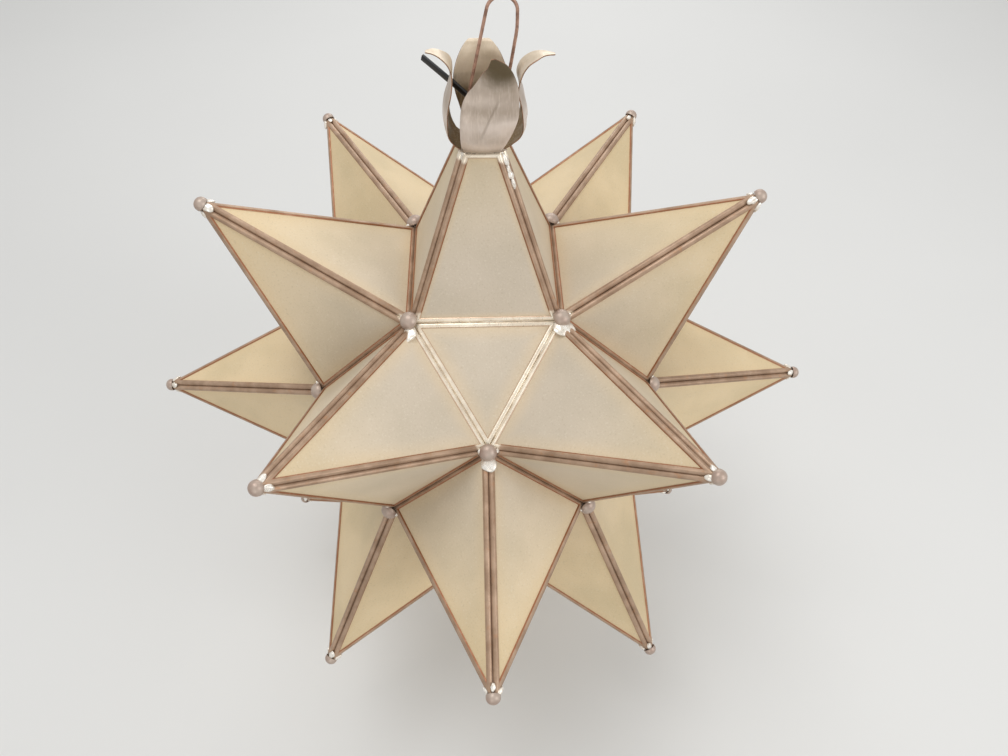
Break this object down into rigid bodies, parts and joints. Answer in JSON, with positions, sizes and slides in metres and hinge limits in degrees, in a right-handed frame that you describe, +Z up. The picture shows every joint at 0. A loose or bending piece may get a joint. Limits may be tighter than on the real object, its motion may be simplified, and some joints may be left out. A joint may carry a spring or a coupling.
{
  "type": "pendant light",
  "caption": "Star pendant of frosted glass points in folded metal cames, hung from a wire loop inside a sheet-metal flower, with a hinged bottom point for changing the bulb.",
  "frame": {"origin": "where the hook bears, under the top of the wire loop", "axes": "+Z up, with the star hanging plumb; -Y towards the front; +X to the right"},
  "size_m": [0.5924, 0.5924, 0.6519],
  "materials": {
    "patinated_came": "brown patina over folded sheet, with tinned stretches",
    "frosted_glass": "frosted, warm cream",
    "cap_metal": "dull grey-brown patina",
    "flower_metal": "brushed, mottled grey-brown patina",
    "wire": "copper-brown",
    "cord": "satin black sheath",
    "fittings": "zinc plated",
    "holder_plastic": "moulded black",
    "holder_core": "moulded white",
    "bulb_cap": "bright",
    "bulb_glass": "opal",
    "hinge_metal": "dull brass"
  },
  "bodies": {
    "hanger": {"hanging_loop": "wire"},
    "star": {"back_petal": "flower_metal", "back_point_cames": "patinated_came", "back_point_glass": "frosted_glass", "bulb_cap": "bulb_cap", "bulb_glass": "bulb_glass", "corner_caps": "cap_metal", "flower_base": "flower_metal", "frame_knuckles": "hinge_metal", "front_petal": "flower_metal", "front_point_cames": "patinated_came", "front_point_glass": "frosted_glass", "hinge_pin": "hinge_metal", "holder_cap": "holder_plastic", "holder_core": "holder_core", "holder_shell": "holder_plastic", "left_petal": "flower_metal", "left_point_cames": "patinated_came", "left_point_glass": "frosted_glass", "lower_back_left_point_cames": "patinated_came", "lower_back_left_point_glass": "frosted_glass", "lower_back_right_point_cames": "patinated_came", "lower_back_right_point_glass": "frosted_glass", "lower_front_left_point_cames": "patinated_came", "lower_front_left_point_glass": "frosted_glass", "lower_front_right_point_cames": "patinated_came", "lower_front_right_point_glass": "frosted_glass", "lower_left_point_cames": "patinated_came", "lower_left_point_glass": "frosted_glass", "lower_right_point_cames": "patinated_came", "lower_right_point_glass": "frosted_glass", "neck_cames": "patinated_came", "neck_glass": "frosted_glass", "neck_plate": "fittings", "nipple": "fittings", "nipple_nuts": "fittings", "right_petal": "flower_metal", "right_point_cames": "patinated_came", "right_point_glass": "frosted_glass", "supply_cord": "cord", "tip_caps": "cap_metal", "triangle_cames": "patinated_came", "triangle_glass": "frosted_glass", "upper_back_left_point_cames": "patinated_came", "upper_back_left_point_glass": "frosted_glass", "upper_back_right_point_cames": "patinated_came", "upper_back_right_point_glass": "frosted_glass", "upper_front_left_point_cames": "patinated_came", "upper_front_left_point_glass": "frosted_glass", "upper_front_right_point_cames": "patinated_came", "upper_front_right_point_glass": "frosted_glass", "upper_left_point_cames": "patinated_came", "upper_left_point_glass": "frosted_glass", "upper_right_point_cames": "patinated_came", "upper_right_point_glass": "frosted_glass"},
    "door": {"door_cames": "patinated_came", "door_glass": "frosted_glass", "door_tip_cap": "cap_metal", "door_knuckle": "hinge_metal", "door_tabs": "hinge_metal"}
  },
  "joints": [
    {"name": "star_swing", "type": "hinge", "parent": "hanger", "child": "star", "pos_m": [-0.0132, 0, -0.1068], "axis": [1, 0, 0], "range_deg": [-15, 15]},
    {"name": "door_hinge", "type": "hinge", "parent": "star", "child": "door", "pos_m": [-0.0132, 0.0601, -0.4919], "axis": [1, 0, 0], "range_deg": [0, 90]}
  ]
}
